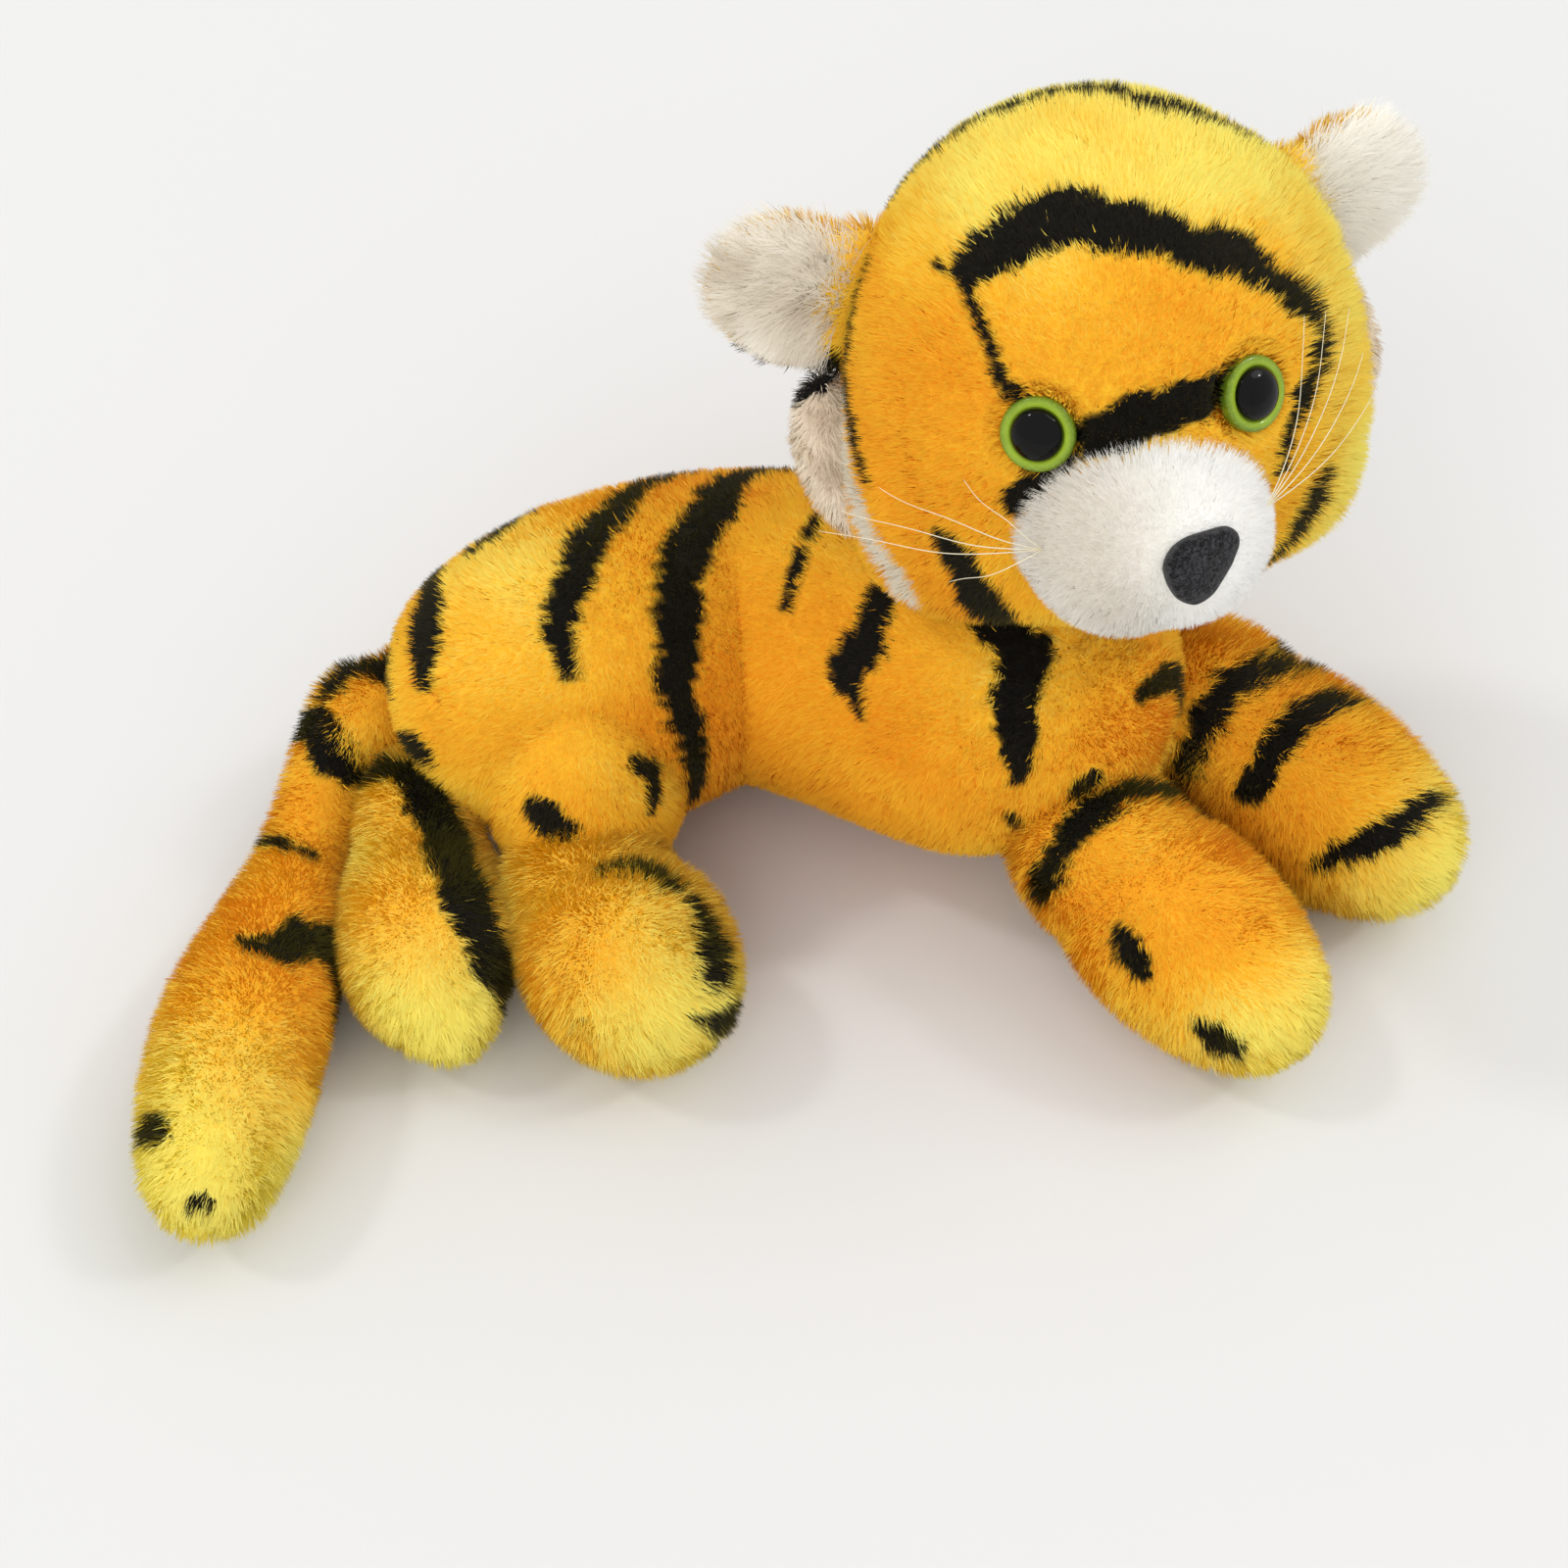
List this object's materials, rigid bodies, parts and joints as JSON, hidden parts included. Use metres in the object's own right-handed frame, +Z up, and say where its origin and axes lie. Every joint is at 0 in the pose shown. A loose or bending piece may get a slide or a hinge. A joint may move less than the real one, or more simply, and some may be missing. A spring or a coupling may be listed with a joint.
{
  "type": "plush tiger",
  "caption": "Stuffed plush tiger lying on its belly with its head raised, jointed at neck, ears, legs and tail.",
  "frame": {"origin": "on the flat of the belly where the toy rests, half way along the torso", "axes": "+X along the torso from rump to chest, +Z up, the face looks towards -Y"},
  "size_m": [0.2683, 0.1808, 0.1662],
  "materials": {
    "orange_plush": "long pile",
    "yellow_plush": "long pile",
    "white_plush": "short pile",
    "beige_plush": "short pile",
    "black_felt": "felt",
    "lime_plastic": "gloss",
    "black_plastic": "gloss",
    "clear_nylon": "satin strand",
    "washer_plastic": "matte",
    "filling": "loose fibre"
  },
  "bodies": {
    "torso": {"torso_skin": "orange_plush", "torso_filling": "filling", "thigh_right": "orange_plush"},
    "neck": {"neck_filling": "filling"},
    "head": {"head_skin": "orange_plush", "head_filling": "filling", "muzzle": "white_plush", "nose": "black_felt", "whiskers_right": "clear_nylon", "whiskers_left": "clear_nylon", "cheek_ruff_right": "beige_plush", "cheek_ruff_left": "beige_plush", "eye_right_iris": "lime_plastic", "eye_right_pupil": "black_plastic", "eye_right_washer": "washer_plastic", "eye_left_iris": "lime_plastic", "eye_left_pupil": "black_plastic", "eye_left_washer": "washer_plastic"},
    "ear_right": {"ear_right_front": "beige_plush", "ear_right_back": "yellow_plush"},
    "ear_left": {"ear_left_front": "beige_plush", "ear_left_back": "yellow_plush"},
    "front_leg_right": {"front_leg_right_skin": "orange_plush", "front_leg_right_filling": "filling"},
    "front_leg_left": {"front_leg_left_skin": "orange_plush", "front_leg_left_filling": "filling"},
    "hind_leg_right": {"hind_leg_right_skin": "orange_plush", "hind_leg_right_filling": "filling"},
    "hind_leg_left": {"hind_leg_left_skin": "orange_plush", "hind_leg_left_filling": "filling"},
    "tail": {"tail_skin": "orange_plush", "tail_filling": "filling"}
  },
  "joints": [
    {"name": "head_turn", "type": "hinge", "parent": "torso", "child": "neck", "pos_m": [0.0656, -0.0049, 0.11239], "axis": [-0.1313, 0.3161, 0.9396], "range_deg": [-20, 30]},
    {"name": "head_nod", "type": "hinge", "parent": "neck", "child": "head", "pos_m": [0.0656, -0.0049, 0.11239], "axis": [0.9803, 0.1824, 0.0756], "range_deg": [-8, 8]},
    {"name": "ear_right_fold", "type": "hinge", "parent": "head", "child": "ear_right", "pos_m": [0.01812, 0.00368, 0.12213], "axis": [0.2332, 0.2146, 0.9484], "range_deg": [-15, 15]},
    {"name": "ear_left_fold", "type": "hinge", "parent": "head", "child": "ear_left", "pos_m": [0.10486, 0.01981, 0.12881], "axis": [0.3756, 0.019, -0.9266], "range_deg": [-15, 15]},
    {"name": "front_leg_right_swing", "type": "hinge", "parent": "torso", "child": "front_leg_right", "pos_m": [0.069, -0.053, 0.027], "axis": [0, 0, 1], "range_deg": [-30, 8]},
    {"name": "front_leg_left_swing", "type": "hinge", "parent": "torso", "child": "front_leg_left", "pos_m": [0.09252, -0.01601, 0.029], "axis": [0, 0, 1], "range_deg": [-4, 30]},
    {"name": "hind_leg_right_swing", "type": "hinge", "parent": "torso", "child": "hind_leg_right", "pos_m": [-0.03695, -0.05999, 0.0215], "axis": [0, 0, 1], "range_deg": [-12, 18]},
    {"name": "hind_leg_left_lift", "type": "hinge", "parent": "torso", "child": "hind_leg_left", "pos_m": [-0.0735, -0.04, 0.022], "axis": [-0.9848, -0.1736, 0], "range_deg": [0, 30]},
    {"name": "tail_swing", "type": "hinge", "parent": "torso", "child": "tail", "pos_m": [-0.08, -0.014, 0.029], "axis": [0, 0, 1], "range_deg": [-35, 0]}
  ]
}
